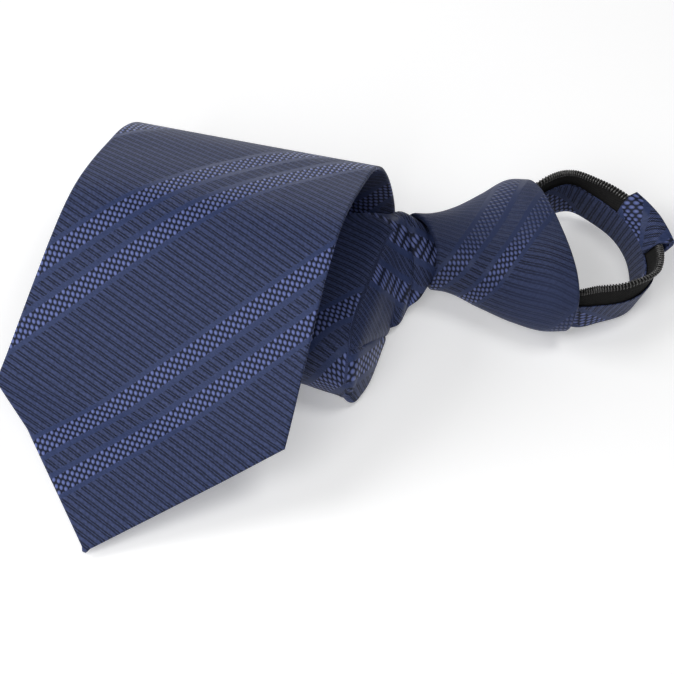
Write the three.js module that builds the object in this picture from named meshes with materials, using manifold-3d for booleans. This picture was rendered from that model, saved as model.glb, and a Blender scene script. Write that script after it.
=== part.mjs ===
// A pre-tied zipper tie, lying with its blade drawn up over a hollow roll.
// Millimetres, +Z up. +X runs along the knot towards the neck loop, and -Y faces the viewer.
import * as THREE from "three";
import { mergeVertices } from "three/addons/utils/BufferGeometryUtils.js";
import Module from "manifold-3d";

const wasm = await Module();
wasm.setup();

// Cloth of the blade: two layers of weave round a soft lining
const clothThickness = 2.6;
const clearance = 0.35;

// Blade
const bladeWidth = 80.7;
const tipLength = 43;
const taperPerMm = 0.118;
const bladeTurn = -21.7;
const rollEdgeX = 10.3;
const rollEdgeY = 12.2;
const bladeReach = 87;
const archHeight = 45;
const archSkew = 8;
const archDroop = 6.6;
const backReach = 14.6;
const legRight = -0.3;

// Small roll under the blade, and the turn from it into the neck
const rollReach = 52;
const rollHeight = 20;

// Knot, measured over its cloth
const knotLength = 31.3;
const knotStartX = 24.6;
const knotY = 6.6;
const knotDrift = -1.4;
const knotLowWidth = 21.4;
const knotLowThickness = 16;
const knotTopWidth = 48.4;
const knotTopThickness = 24;
const knotWall = 1.5;
const knotPocket = 9;

// Neck loop
const bandHeight = 10;
const bandThickness = 2.6;
const tapeRise = 4.9;
const tapeThickness = 1.2;
const tapeTuck = 3;
const toothSize = 1.9;
const loopReach = 23;
const loopBreadth = 44;
const keeperWall = 1;
const keeperFlare = 1.4;

// Numbers of steps
const acrossSteps = 9;
const smoothSteps = 3;
const roundSides = 28;

const cloth = { color: 0x27365c, roughness: 0.62, metalness: 0 };
const darkCloth = { color: 0x15171c, roughness: 0.85, metalness: 0 };
const coil = { color: 0x1d1e22, roughness: 0.4, metalness: 0 };

const half = clothThickness / 2;
const turn = THREE.MathUtils.degToRad(bladeTurn);

// A place on the blade's own axes: t across it to the right, u forward to the tip.
function onBlade(t, u, z) {
  return new THREE.Vector3(
    rollEdgeX + t * Math.cos(turn) + u * Math.sin(turn),
    rollEdgeY + t * Math.sin(turn) - u * Math.cos(turn),
    z,
  );
}

// A smooth curve through points, sampled evenly in its parameter.
function through(points, steps) {
  return new THREE.CatmullRomCurve3(points, false, "centripetal").getPoints(steps);
}

// A closed solid round a grid of points, its cloth lying half on each side, nothing under the floor.
function sheetSolid(grid, thickness, floor = 0) {
  const rows = grid.length;
  const columns = grid[0].length;
  const side = new THREE.Vector3();
  const ahead = new THREE.Vector3();
  const positions = [];
  for (const sign of [1, -1])
    for (let i = 0; i < rows; i++)
      for (let j = 0; j < columns; j++) {
        ahead.subVectors(grid[Math.min(i + 1, rows - 1)][j], grid[Math.max(i - 1, 0)][j]);
        side.subVectors(grid[i][Math.min(j + 1, columns - 1)], grid[i][Math.max(j - 1, 0)]);
        const out = ahead.clone().cross(side).normalize();
        const p = grid[i][j].clone().addScaledVector(out, (-sign * thickness) / 2);
        positions.push(p.x, p.y, Math.max(p.z, floor));
      }
  const at = (layer, i, j) => (layer * rows + i) * columns + j;
  const end = columns - 1;
  const last = rows - 1;
  const faces = [];
  const quad = (a, b, c, d) => faces.push(a, b, c, a, c, d);
  for (let i = 0; i + 1 < rows; i++)
    for (let j = 0; j + 1 < columns; j++) {
      quad(at(0, i, j), at(0, i, j + 1), at(0, i + 1, j + 1), at(0, i + 1, j));
      quad(at(1, i, j), at(1, i + 1, j), at(1, i + 1, j + 1), at(1, i, j + 1));
    }
  for (let i = 0; i + 1 < rows; i++) {
    quad(at(0, i, 0), at(0, i + 1, 0), at(1, i + 1, 0), at(1, i, 0));
    quad(at(0, i, end), at(1, i, end), at(1, i + 1, end), at(0, i + 1, end));
  }
  for (let j = 0; j + 1 < columns; j++) {
    quad(at(0, 0, j), at(1, 0, j), at(1, 0, j + 1), at(0, 0, j + 1));
    quad(at(0, last, j), at(0, last, j + 1), at(1, last, j + 1), at(1, last, j));
  }
  return closedGeometry(positions, faces);
}

// A geometry from positions and faces, turned round if its faces point inwards.
function closedGeometry(positions, faces) {
  let volume = 0;
  const corner = (k) => new THREE.Vector3().fromArray(positions, 3 * faces[k]);
  for (let k = 0; k < faces.length; k += 3)
    volume += corner(k).dot(corner(k + 1).cross(corner(k + 2)));
  if (volume < 0)
    for (let k = 0; k < faces.length; k += 3)
      [faces[k + 1], faces[k + 2]] = [faces[k + 2], faces[k + 1]];
  const geometry = new THREE.BufferGeometry();
  geometry.setAttribute("position", new THREE.Float32BufferAttribute(positions, 3));
  geometry.setIndex(faces);
  return geometry;
}

// Front blade and the leg behind it, from tip to table.
// run is a share of bladeReach in front of the roll and of backReach behind it, rise of archHeight.
const archRows = [
  { run: 0.92, rise: 0.445 },
  { run: 0.8, rise: 0.59 },
  { run: 0.68, rise: 0.735 },
  { run: 0.56, rise: 0.87 },
  { run: 0.45, rise: 0.965 },
  { run: 0.35, rise: 1 },
  { run: 0.24, rise: 0.97 },
  { run: 0.12, rise: 0.895 },
  { run: 0.01, rise: 0.805 },
];
const backRows = [
  { run: 0.4, rise: 0.68 },
  { run: 0.7, rise: 0.51 },
  { run: 0.9, rise: 0.33 },
  { run: 1, rise: 0.17 },
  { run: 0.97, rise: 0.085 },
];

// The layer on the table and the two ends of each of its rows, t as a share of bladeWidth.
const underRows = [
  { run: -0.22, left: -0.76, right: -0.03 },
  { run: -0.1, left: -0.76, right: -0.03 },
  { run: 0.2, left: -0.7, right: 0 },
  { run: 0.5, left: -0.62, right: 0.03 },
  { run: 0.75, left: -0.56, right: 0.06 },
];

// The small roll and the turn into the neck. Each row is a line across the cloth from its far edge
// over a crest and down its flank to its near edge: t and u as shares of rollReach, z of rollHeight.
const turnRows = [
  [[-0.78, 0.94, 0.18], [0.2, 0.94, 0.18], [0.215, 0.94, 0.15], [0.222, 0.94, 0.12]],
  [[-0.76, 0.985, 0.5], [0.238, 0.985, 0.5], [0.246, 0.965, 0.3], [0.25, 0.945, 0.08]],
  [[-0.7, 0.94, 0.8], [0.228, 0.94, 0.82], [0.258, 0.92, 0.46], [0.262, 0.895, 0.08]],
  [[-0.62, 0.84, 0.8], [0.2, 0.84, 0.95], [0.262, 0.825, 0.52], [0.268, 0.81, 0.08]],
  [[-0.54, 0.68, 0.72], [0.172, 0.7, 0.97], [0.243, 0.69, 0.54], [0.258, 0.69, 0.08]],
  [[-0.46, 0.44, 0.7], [0.158, 0.53, 1], [0.224, 0.56, 0.55], [0.243, 0.57, 0.08]],
  [[-0.33, 0.17, 0.78], [0.14, 0.33, 1.02], [0.212, 0.42, 0.56], [0.232, 0.475, 0.08]],
  [[-0.16, 0.03, 0.86], [0.132, 0.17, 1.04], [0.215, 0.3, 0.6], [0.226, 0.415, 0.08]],
  [[0.01, -0.05, 0.84], [0.15, 0.04, 1.02], [0.255, 0.17, 0.68], [0.255, 0.38, 0.1]],
].map(([far, crest, flank, near]) => ({ far, crest, flank, near }));

// The gathered neck: x as a share of the way from the turn to the knot's rim, y and z as shares
// of the knot's low end from its middle.
const neckRows = [
  { x: [-0.2, 0.14, 0.3, 0.22], y: [0.98, 0.46, -0.68, -1.1], z: [0.1, 1.06, 0.1, -1.1] },
  { x: [0.1, 0.42, 0.58, 0.6], y: [0.76, 0.4, -0.68, -0.92], z: [-0.1, 0.98, 0.1, -0.9] },
  { x: [0.62, 0.93, 1.05, 1.02], y: [0.56, 0.32, -0.58, -0.64], z: [-0.35, 0.56, 0.1, -0.4] },
  { x: [1.5, 1.62, 1.7, 1.7], y: [0.5, 0.24, -0.42, -0.5], z: [-0.3, 0.44, 0.12, -0.3] },
];

const neckStartX = 16.2;
const knotZ = knotTopThickness / 2;

function bladeGrid() {
  const rows = [];
  let length = 0;
  let last = null;
  const acrossOf = (u, z, left, right, lift) => {
    const ends = [left, right].map((t) => {
      const share = lift ? (-t / bladeWidth) * (z / archHeight) : 0;
      return onBlade(t, u + archSkew * share, z - archDroop * share);
    });
    return [0, 1 / 3, 2 / 3, 1].map((k) => ends[0].clone().lerp(ends[1], k));
  };
  const centre = (k) => -0.385 * bladeWidth - 0.045 * bladeWidth * k;
  const cornerZ = 0.36 * archHeight;
  const tipRun = Math.sqrt(tipLength ** 2 - (cornerZ - half) ** 2);
  const tipShares = [1, 0.97, 0.66, 0.33];
  for (const k of tipShares) {
    const width = Math.max(bladeWidth * (1 - k), 1.2);
    const mid = centre(0);
    const z = cornerZ + (half - cornerZ) * k;
    rows.push(acrossOf(bladeReach + tipRun * k, z, mid - width / 2, mid + width / 2, false));
  }
  const upper = [{ u: bladeReach, z: cornerZ }];
  for (const row of archRows) upper.push({ u: row.run * bladeReach, z: row.rise * archHeight });
  for (const row of backRows) upper.push({ u: -row.run * backReach, z: row.rise * archHeight });
  upper.forEach(({ u, z }, i) => {
    if (last) length += Math.hypot(u - last.u, z - last.z);
    last = { u, z };
    const width = bladeWidth - taperPerMm * length;
    const right = u < 0 ? legRight : centre(Math.min(1, Math.max(0, 1 - u / bladeReach))) + width / 2;
    rows.push(acrossOf(u, z, right - width, right, true));
  });
  for (const row of underRows)
    rows.push(acrossOf(row.run * rollReach, half, row.left * bladeWidth, row.right * bladeWidth, false));
  for (const row of turnRows)
    rows.push(
      [row.far, row.crest, row.flank, row.near].map(([t, u, z]) =>
        onBlade(t * rollReach, u * rollReach, Math.max(half, z * rollHeight)),
      ),
    );
  for (const row of neckRows)
    rows.push(
      row.x.map(
        (share, k) =>
          new THREE.Vector3(
            neckStartX + share * (knotStartX - neckStartX),
            knotY + (row.y[k] * knotLowWidth) / 2,
            Math.max(half, knotZ * 0.93 + (row.z[k] * knotLowThickness) / 2),
          ),
      ),
    );
  return smoothGrid(rows);
}

// The rows made finer both ways. Rows that stand at the blade's corners stay sharp.
function smoothGrid(rows) {
  const across = rows.map((row) => through(row, acrossSteps));
  const cornerRow = 4;
  const head = across.slice(0, cornerRow + 1);
  const body = across.slice(cornerRow);
  const grid = head.slice(0, -1);
  const columns = [];
  for (let j = 0; j <= acrossSteps; j++)
    columns.push(through(body.map((row) => row[j]), smoothSteps * (body.length - 1)));
  for (let i = 0; i < columns[0].length; i++) grid.push(columns.map((column) => column[i]));
  return grid;
}

// A ring of the knot: a rounded oval of the given half width and half thickness.
function oval(halfWide, halfThick, k) {
  const angle = (2 * Math.PI * k) / roundSides;
  const power = 0.72;
  const c = Math.cos(angle);
  const s = Math.sin(angle);
  return [
    Math.sign(c) * Math.abs(c) ** power * halfWide,
    Math.sign(s) * Math.abs(s) ** power * halfThick,
  ];
}

// How far each rim leans back, bulges and tilts at its edge, as shares of the knot's length
const lowRim = { lean: 0.125, bulge: 0.061, tilt: 0.048 };
const topRim = { lean: 0.23, bulge: 0.019, tilt: 0.093 };

// The knot swells from its low end to its top: shares of its length, of its growth in width and
// thickness, of its drift to one side, and how far its middle sags, as a share of its top's thickness.
const knotRows = [
  { along: 0, wide: -0.02, thick: 0, drift: 0, sag: 0 },
  { along: 0.12, wide: 0, thick: 0.08, drift: 0.2, sag: 0.012 },
  { along: 0.35, wide: 0.265, thick: 0.35, drift: 0.65, sag: 0.052 },
  { along: 0.6, wide: 0.64, thick: 0.69, drift: 0.92, sag: 0.046 },
  { along: 0.85, wide: 0.96, thick: 0.95, drift: 0.92, sag: 0.005 },
  { along: 1, wide: 0.96, thick: 0.94, drift: 1, sag: 0 },
];

// Where a place on a rim lies along X: the rim leans back on its far side and below.
function rimX(along, wideShare, highShare) {
  const lean = THREE.MathUtils.lerp(lowRim.lean, topRim.lean, along);
  const bulge = THREE.MathUtils.lerp(lowRim.bulge, topRim.bulge, along);
  const tilt = THREE.MathUtils.lerp(lowRim.tilt, topRim.tilt, along);
  const back = lean * wideShare + bulge * wideShare ** 2 - tilt * highShare;
  return knotStartX + knotLength * (along - back);
}

// A share of the knot's growth at a place along it, straight between the rows.
function knotShare(along, key) {
  const clamped = THREE.MathUtils.clamp(along, 0, 1);
  const next = knotRows.findIndex((row) => row.along >= clamped);
  if (next < 1) return knotRows[0][key];
  const a = knotRows[next - 1];
  const b = knotRows[next];
  return THREE.MathUtils.mapLinear(clamped, a.along, b.along, a[key], b[key]);
}

function knotRing(along, inset) {
  const wide = THREE.MathUtils.lerp(knotLowWidth, knotTopWidth, knotShare(along, "wide")) / 2;
  const thick = THREE.MathUtils.lerp(knotLowThickness, knotTopThickness, knotShare(along, "thick")) / 2;
  const middleY = knotY + knotDrift * knotShare(along, "drift");
  const middleZ = knotZ - knotTopThickness * knotShare(along, "sag");
  const ring = [];
  for (let k = 0; k < roundSides; k++) {
    const [y, z] = oval(wide - inset, thick - inset, k);
    ring.push(new THREE.Vector3(rimX(along, y / wide, z / thick), middleY + y, middleZ + z));
  }
  return ring;
}

// A solid through rings, closed at each end by flat faces laid out on the section's own outline.
function ringSolid(rings, outline = rings[0].map((p) => [p.y, p.z])) {
  const positions = rings.flatMap((ring) => ring.flatMap((p) => [p.x, p.y, p.z]));
  const count = rings[0].length;
  const faces = [];
  for (let i = 0; i + 1 < rings.length; i++)
    for (let k = 0; k < count; k++) {
      const a = i * count + k;
      const b = i * count + ((k + 1) % count);
      faces.push(a, b, b + count, a, b + count, a + count);
    }
  const flat = outline.map(([x, y]) => new THREE.Vector2(x, y));
  const last = (rings.length - 1) * count;
  for (const [a, b, c] of THREE.ShapeUtils.triangulateShape(flat, [])) {
    faces.push(a, c, b);
    faces.push(last + a, last + b, last + c);
  }
  return closedGeometry(positions, faces);
}

function toManifold(geometry) {
  const bare = geometry.clone();
  bare.deleteAttribute("normal");
  bare.deleteAttribute("uv");
  const merged = mergeVertices(bare, 1e-4);
  return new wasm.Manifold(
    new wasm.Mesh({
      numProp: 3,
      vertProperties: merged.attributes.position.array,
      triVerts: new Uint32Array(merged.index.array),
    }),
  );
}

function fromManifold(solid) {
  const mesh = solid.getMesh();
  const geometry = new THREE.BufferGeometry();
  geometry.setAttribute("position", new THREE.BufferAttribute(new Float32Array(mesh.vertProperties), 3));
  geometry.setIndex(new THREE.BufferAttribute(new Uint32Array(mesh.triVerts), 1));
  return geometry;
}

// The knot with a pocket in each end, where the neck and the two ends of the band go in.
function knotGeometry() {
  const outer = ringSolid(knotRows.map((row) => knotRing(row.along, 0)));
  const deep = knotPocket / knotLength;
  const low = ringSolid([
    knotRing(-0.3, knotWall),
    knotRing(deep * 0.5, knotWall),
    knotRing(deep, knotWall + 0.8),
  ]);
  const top = ringSolid([
    knotRing(1 - deep * 1.4, knotWall + 1.5),
    knotRing(1 - deep * 0.7, knotWall),
    knotRing(1, knotWall),
    knotRing(1.4, knotWall),
  ]);
  return fromManifold(toManifold(outer).subtract(toManifold(low)).subtract(toManifold(top)));
}

// The band's route seen from above, from the far side of the knot round to its near side.
// out is a share of loopReach past the knot's top, side a share of loopBreadth from its middle,
// lift the height of the band's foot as a share of bandHeight. lean is the band's slope outwards,
// tapeLean the slope of the tape above it, and tall scales the height of both.
const loopRows = [
  { out: -0.36, side: 0.31, lift: 0.56, lean: -0.02, tapeLean: 0, tall: 0.82 },
  { out: 0.02, side: 0.48, lift: 0.54, lean: 0, tapeLean: -0.1, tall: 0.94 },
  { out: 0.28, side: 0.545, lift: 0.38, lean: 0.03, tapeLean: -0.14, tall: 0.99 },
  { out: 0.55, side: 0.48, lift: 0.22, lean: 0.06, tapeLean: 0.2, tall: 0.98 },
  { out: 0.8, side: 0.36, lift: 0.1, lean: 0.12, tapeLean: 0.75, tall: 0.98 },
  { out: 0.95, side: 0.2, lift: 0.03, lean: 0.26, tapeLean: 1, tall: 1 },
  { out: 1, side: 0.03, lift: 0, lean: 0.4, tapeLean: 1.05, tall: 1 },
  { out: 0.985, side: -0.12, lift: 0, lean: 0.5, tapeLean: 0.75, tall: 1 },
  { out: 0.86, side: -0.255, lift: 0.06, lean: 0.46, tapeLean: -0.1, tall: 1 },
  { out: 0.57, side: -0.35, lift: 0.16, lean: 0.36, tapeLean: -0.48, tall: 1 },
  { out: 0.3, side: -0.415, lift: 0.28, lean: 0.14, tapeLean: -0.1, tall: 0.92 },
  { out: 0.04, side: -0.375, lift: 0.56, lean: 0.02, tapeLean: 0, tall: 0.84 },
  { out: -0.2, side: -0.34, lift: 0.58, lean: 0, tapeLean: 0, tall: 0.8 },
];
const loopSteps = 44;
const keeperFrom = 15;
const keeperTo = 22;
const loopCentreY = 6.8;

// Stations of the band: the foot of its middle, the way out of the loop, and the two slopes.
function loopStations() {
  const startX = knotStartX + knotLength;
  const footOf = ({ out, side, lift }) =>
    new THREE.Vector3(startX + out * loopReach, loopCentreY + side * loopBreadth, lift * bandHeight);
  const feet = through(loopRows.map(footOf), loopSteps);
  const leans = through(loopRows.map((r) => new THREE.Vector3(r.lean, r.tapeLean, r.tall)), loopSteps);
  const slope = (out, lean) => new THREE.Vector3(0, 0, 1).addScaledVector(out, lean).normalize();
  return feet.map((foot, i) => {
    const ahead = new THREE.Vector3()
      .subVectors(feet[Math.min(i + 1, loopSteps)], feet[Math.max(i - 1, 0)])
      .setZ(0)
      .normalize();
    const out = new THREE.Vector3(-ahead.y, ahead.x, 0);
    return { foot, out, up: slope(out, leans[i].x), tapeUp: slope(out, leans[i].y), tall: leans[i].z };
  });
}

// A place in the band's section: what is higher than the band follows the tape's slope.
function onLoop({ foot, out, up, tapeUp, tall }, across, rise) {
  const place = foot.clone().addScaledVector(out, across);
  place.addScaledVector(up, Math.min(rise, bandHeight) * tall);
  place.addScaledVector(tapeUp, Math.max(rise - bandHeight, 0) * tall);
  return place.setZ(Math.max(place.z, 0));
}

// A strip that follows the band: section gives [across, up] corners, from and to are stations.
// The part of the section outside its middle grows by flare towards the strip's end.
function loopStrip(section, from = 0, to = loopSteps, flare = 0) {
  const rings = loopStations()
    .slice(from, to + 1)
    .map((station, i) => {
      const growth = flare * (i / (to - from)) ** 2;
      return section.map(([across, rise]) => onLoop(station, across + (across > 0 ? growth : 0), rise));
    });
  return ringSolid(rings, section);
}

// The band has a slot along its upper edge that the tape stands in.
function bandGeometry() {
  const slot = tapeThickness / 2 + clearance;
  const w = bandThickness / 2;
  const floorOfSlot = bandHeight - tapeTuck;
  return loopStrip([
    [-w, 0],
    [w, 0],
    [w, bandHeight],
    [slot, bandHeight],
    [slot, floorOfSlot],
    [-slot, floorOfSlot],
    [-slot, bandHeight],
    [-w, bandHeight],
  ]);
}

// The tape stands in the band's slot and bends where it leaves it.
function tapeGeometry() {
  const w = tapeThickness / 2;
  const bottom = bandHeight - tapeTuck + clearance;
  const top = bandHeight + tapeRise - toothSize - clearance;
  return loopStrip([
    [-w, bottom],
    [w, bottom],
    [w, bandHeight],
    [w, top],
    [-w, top],
    [-w, bandHeight],
  ]);
}

// Half of the coil's outline, from its foot to its crown, grown by a margin.
function coilSide(margin) {
  const crown = bandHeight + tapeRise;
  const r = toothSize / 2;
  return [
    [r * 0.6 + margin * 0.5, crown - toothSize],
    [r + margin, crown - r],
    [r * 0.6 + margin * 0.5, crown + margin],
  ];
}

function mirrored(side) {
  return side.map(([across, rise]) => [-across, rise]).reverse();
}

function teethGeometry() {
  const side = coilSide(0);
  return loopStrip([...side, ...mirrored(side)]);
}

// The keeper folds over the tape and the coil and down the outside of the band, open below.
function keeperGeometry() {
  const brow = bandHeight + clearance;
  const hem = 0.22 * bandHeight;
  const outside = bandThickness / 2 + clearance;
  const tapeSide = tapeThickness / 2 + clearance;
  const [, ...inner] = coilSide(clearance);
  const [, ...outer] = coilSide(clearance + keeperWall);
  const section = [
    [outside, hem],
    [outside + keeperWall, hem],
    [outside + keeperWall, brow],
    ...outer,
    ...mirrored(outer),
    [-tapeSide - keeperWall, brow],
    [-tapeSide, brow],
    ...mirrored(inner).reverse(),
    ...inner.reverse(),
    [outside, brow],
  ];
  return loopStrip(section, keeperFrom, keeperTo, keeperFlare);
}

const cad = new THREE.Group();

function add(name, geometry, finish) {
  const mesh = new THREE.Mesh(geometry, new THREE.MeshStandardMaterial(finish));
  mesh.name = name;
  cad.add(mesh);
}

add("blade", sheetSolid(bladeGrid(), clothThickness), cloth);
add("knot", knotGeometry(), cloth);
add("neckband", bandGeometry(), cloth);
add("zipper_tape", tapeGeometry(), darkCloth);
add("zipper_teeth", teethGeometry(), coil);
add("keeper", keeperGeometry(), cloth);

// The origin is the middle of the floor under the whole tie.
const reach = new THREE.Box3().setFromObject(cad);
cad.position.set(-(reach.min.x + reach.max.x) / 2, -(reach.min.y + reach.max.y) / 2, 0);

export default cad;
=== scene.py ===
import math

import bpy
import numpy as np
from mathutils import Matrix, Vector


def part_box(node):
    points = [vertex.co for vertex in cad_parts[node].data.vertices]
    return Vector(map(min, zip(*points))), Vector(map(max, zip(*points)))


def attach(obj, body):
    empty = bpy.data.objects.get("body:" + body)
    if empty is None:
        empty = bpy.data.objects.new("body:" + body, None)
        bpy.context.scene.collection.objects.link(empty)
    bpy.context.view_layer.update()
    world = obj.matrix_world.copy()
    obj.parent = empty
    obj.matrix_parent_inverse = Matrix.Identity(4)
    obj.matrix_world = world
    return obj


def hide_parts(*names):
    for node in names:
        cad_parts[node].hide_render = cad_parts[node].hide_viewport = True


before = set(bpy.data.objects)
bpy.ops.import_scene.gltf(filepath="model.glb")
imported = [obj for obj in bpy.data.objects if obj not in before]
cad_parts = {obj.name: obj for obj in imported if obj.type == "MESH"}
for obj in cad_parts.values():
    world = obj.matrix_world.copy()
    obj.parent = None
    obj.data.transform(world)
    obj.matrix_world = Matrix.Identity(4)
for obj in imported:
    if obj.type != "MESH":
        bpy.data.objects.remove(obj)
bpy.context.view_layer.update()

# A zipper tie on a pale floor. Lengths are millimetres until a mesh is made.
scene = bpy.context.scene
millimetre = 0.001


# Numpy tools

def unit(v):
    # Each vector divided by its length.
    return v / np.maximum(np.linalg.norm(v, axis=-1, keepdims=True), 1e-9)


def splineThrough(points, at):
    # A centripetal spline through points along the first axis, sampled at places counted in points:
    # each span is a Hermite cubic whose tangents come from the square roots of the three distances.
    lastSpan = len(points) - 2
    padded = np.concatenate([2 * points[:1] - points[1:2], points, 2 * points[-1:] - points[-2:-1]])
    span = np.clip(at.astype(int), 0, lastSpan)
    f = (at - span).reshape((-1,) + (1,) * (points.ndim - 1))
    a, b, c, d = (padded[span + k] for k in range(4))
    ab, bc, cd = (np.maximum(np.linalg.norm(q - p, axis=-1, keepdims=True), 1e-6) ** 0.5
                  for p, q in ((a, b), (b, c), (c, d)))
    startSlope = bc * ((b - a) / ab - (c - a) / (ab + bc) + (c - b) / bc)
    endSlope = bc * ((c - b) / bc - (d - b) / (bc + cd) + (d - c) / cd)
    return (b * (2 * f**3 - 3 * f**2 + 1) + startSlope * (f**3 - 2 * f**2 + f)
            + c * (3 * f**2 - 2 * f**3) + endSlope * (f**3 - f**2))


def runningLength(points, axis):
    # Distance along a grid's rows or columns, from its first line.
    steps = np.linalg.norm(np.diff(points, axis=axis), axis=-1)
    start = np.zeros_like(np.take(steps, [0], axis=axis))
    return np.cumsum(np.concatenate([start, steps], axis=axis), axis=axis)


def smoothStep(x, low, high):
    # 0 below low, 1 above high, and an S curve between them.
    k = np.clip((x - low) / (high - low), 0, 1)
    return k * k * (3 - 2 * k)


def gridNormals(grid):
    # The cross product of the grid's two directions at every point.
    return unit(np.cross(np.gradient(grid, axis=0), np.gradient(grid, axis=1)))


def makeMesh(name, grid, cloth, material, wrap=True):
    # Quads over a grid of points in millimetres. A wrapped grid closes round its second axis and has
    # one flat face over each end. cloth gives each corner its place on the flat cloth, and for a
    # wrapped grid it has one column more than the grid.
    rows, columns = grid.shape[:2]
    faceColumns = columns if wrap else columns - 1
    i, j = np.meshgrid(np.arange(rows - 1), np.arange(faceColumns), indexing="ij")
    corners = [(i, j), (i, j + 1), (i + 1, j + 1), (i + 1, j)]
    quads = np.stack([r * columns + c % columns for r, c in corners], axis=-1).reshape(-1, 4)
    uvs = np.stack([cloth[r, c] for r, c in corners], axis=-2).reshape(-1, 2)
    faces = quads.tolist()
    if wrap:
        faces += [list(range(columns))[::-1], list(range((rows - 1) * columns, rows * columns))]
        uvs = np.concatenate([uvs, cloth[0, :columns][::-1], cloth[-1, :columns]])
    mesh = bpy.data.meshes.new(name)
    mesh.from_pydata((grid.reshape(-1, 3) * millimetre).tolist(), [], faces)
    layer = mesh.uv_layers.new(name="cloth")
    layer.data.foreach_set("uv", uvs.astype(np.float32).ravel())
    mesh.polygons.foreach_set("use_smooth", [True] * len(mesh.polygons))
    mesh.materials.append(material)
    mesh.update()
    made = bpy.data.objects.new(name, mesh)
    scene.collection.objects.link(made)
    return made


# Node tools

def addNode(tree, kind, **settings):
    made = tree.nodes.new(kind)
    for key, value in settings.items():
        setattr(made, key, value)
    return made


def setInputs(node, values):
    for label, value in values.items():
        node.inputs[label].default_value = value


def feed(tree, socket, value):
    # A socket gets a link from another socket, or a plain value.
    if isinstance(value, bpy.types.NodeSocket):
        tree.links.new(value, socket)
    else:
        socket.default_value = value


def calc(tree, operation, *values):
    made = addNode(tree, "ShaderNodeMath", operation=operation)
    for socket, value in zip(made.inputs, values):
        feed(tree, socket, value)
    return made.outputs[0]


def blend(tree, share, a, b):
    # Colour a where share is 0, and b where it is 1.
    made = addNode(tree, "ShaderNodeMix", data_type="RGBA")
    for socket, value in zip((made.inputs[0], made.inputs[6], made.inputs[7]), (share, a, b)):
        feed(tree, socket, value)
    return made.outputs[2]


def bandMask(tree, value, edges, soft):
    # 1 between each pair of edges and 0 elsewhere, with soft borders.
    total = None
    for low, high in edges:
        rise = addNode(tree, "ShaderNodeMapRange", interpolation_type="SMOOTHSTEP")
        fall = addNode(tree, "ShaderNodeMapRange", interpolation_type="SMOOTHSTEP")
        for made, edge in ((rise, low), (fall, high)):
            feed(tree, made.inputs[0], value)
            made.inputs[1].default_value = edge - soft
            made.inputs[2].default_value = edge + soft
        strip = calc(tree, "SUBTRACT", rise.outputs[0], fall.outputs[0])
        total = strip if total is None else calc(tree, "ADD", total, strip)
    return total


def newGroup(name, inputs, outputs):
    tree = bpy.data.node_groups.new(name, "ShaderNodeTree")
    for direction, sockets in (("INPUT", inputs), ("OUTPUT", outputs)):
        for label, kind, value in sockets:
            socket = tree.interface.new_socket(label, in_out=direction, socket_type="NodeSocket" + kind)
            if value is not None:
                socket.default_value = value
    return tree, tree.nodes.new("NodeGroupInput"), tree.nodes.new("NodeGroupOutput")


def useGroup(tree, group, **values):
    made = addNode(tree, "ShaderNodeGroup", node_tree=group)
    for label, value in values.items():
        feed(tree, made.inputs[label], value)
    return made


# The jacquard weave: a ground of fine ribs, and pairs of honeycomb stripes between plain borders.
# The stripes' edges are counted in small checks of the weave, those across plus those along.
weave = {
    "checkAcross": 1.35,  # mm, one check of the honeycomb across the blade
    "checkAlong": 1.59,   # and along it
    "repeat": 44,         # checks from one pair of stripes to the next
    "honeycomb": ((1.5, 6.5), (13.5, 18.5)),
    "plain": ((.2, 1.5), (6.5, 8.0), (12.0, 13.5), (18.5, 19.8)),
    "borderSoftness": 0.14,
    "ovalLength": 0.8,    # mm, half the length of one honeycomb oval
    "ovalWidth": 0.52,    # and half its width
    "ovalTilt": 58.0,     # degrees
    "ovalPower": 0.8,     # below 1 the ovals look full
    "ribPitch": 2.05,     # mm, one group of ribs
    "ribAngle": 21.4,     # degrees from the blade's width
    "grooves": ((.1, .28), (.42, .6)),  # the group's two grooves, as shares of the pitch
    "grooveSoftness": 0.07,
    "threadPitch": 0.5,   # mm
    "ribTone": 0.46,      # from dark, 0, to light, 1, with what a groove takes and a thread adds
    "grooveDepth": 0.5,
    "threadDepth": 0.42,
    "slubStretch": (2.2, 0.6),  # over the ribs and along them
    "slubNoise": {"Scale": 1.3, "Detail": 3.0},
    "slubDepth": 0.7,
    "plainTone": 0.4,     # the borders' tone, and how much the slubs change it
    "plainSlubs": 1.6,
    "plainShare": 0.65,   # how much of plainColor is mixed in
    "ovalHeight": 1.7,    # heights as shares of the bump's distance
    "plainHeight": 0.55,
    "roughness": 0.58,    # at height 0, and how much less of it at height 1
    "polish": 0.13,
    "dark": (0.0026, 0.0052, 0.0155, 1),
    "light": (0.078, 0.106, 0.262, 1),
    "gap": (0.005, 0.0085, 0.025, 1),
    "bright": (0.13, 0.168, 0.41, 1),
    "plainColor": (0.024, 0.039, 0.11, 1),
    # The next colour is what the knot's weave fades to away from its painted highlight band.
    "middleTone": (0.0235, 0.036, 0.098, 1),  # what the weave fades to where its contrast is low
}


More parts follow.
